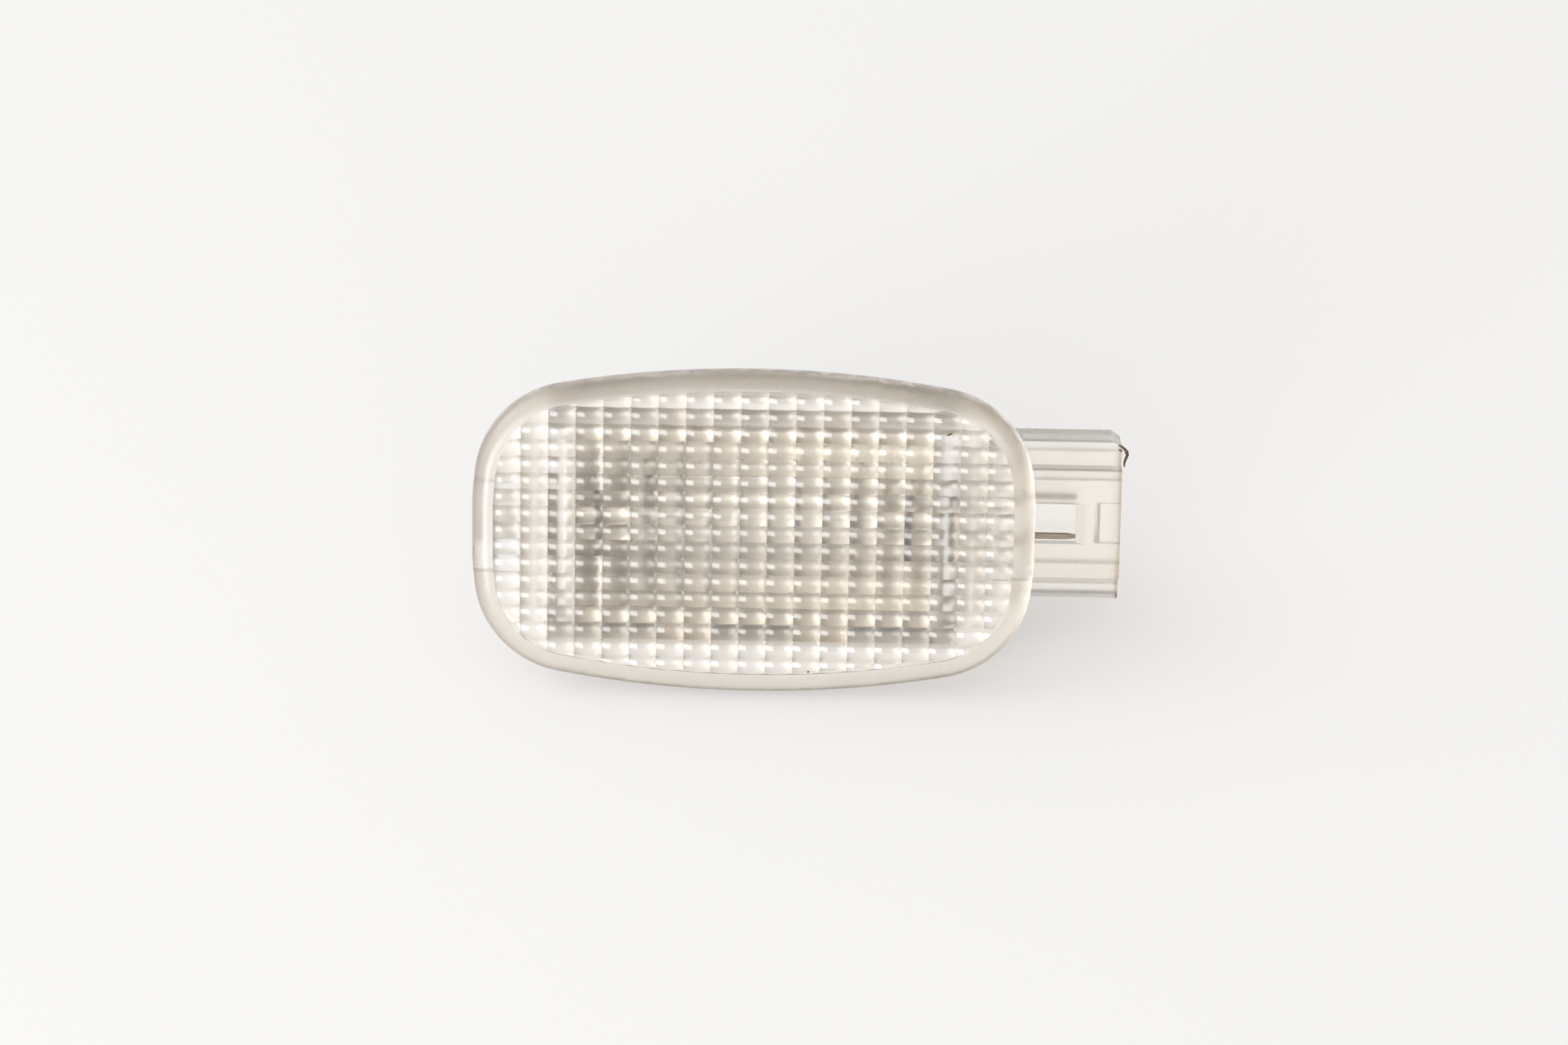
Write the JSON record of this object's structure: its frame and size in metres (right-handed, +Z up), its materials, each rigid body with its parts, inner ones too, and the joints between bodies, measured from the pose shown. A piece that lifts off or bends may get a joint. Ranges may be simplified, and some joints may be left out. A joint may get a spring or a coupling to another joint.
{
  "type": "trunk light",
  "caption": "Snap-in luggage-compartment lamp with a clear prismatic lens, a tubular bulb in a reflector trough and a plug socket at one end.",
  "frame": {"origin": "middle of the seat plane, the back of the housing's flange", "axes": "the lens faces -Y, the plug socket opens towards +X, +Z is up"},
  "size_m": [0.0762, 0.0168, 0.0388],
  "materials": {
    "clear_lens": "clear polished plastic",
    "clear_housing": "clear moulded plastic with slight grime along its edges",
    "reflector_sheet": "bright rolled sheet",
    "contact_metal": "dull tinned strip",
    "bulb_glass": "clear glass",
    "cap_metal": "nickel-plated cap",
    "filament_metal": "grey wire"
  },
  "bodies": {
    "root": {"lens": "clear_lens", "housing": "clear_housing", "reflector": "reflector_sheet", "contact_left": "contact_metal", "contact_right": "contact_metal", "bulb_glass": "bulb_glass", "bulb_cap_left": "cap_metal", "bulb_cap_right": "cap_metal", "bulb_filament": "filament_metal"}
  },
  "joints": []
}
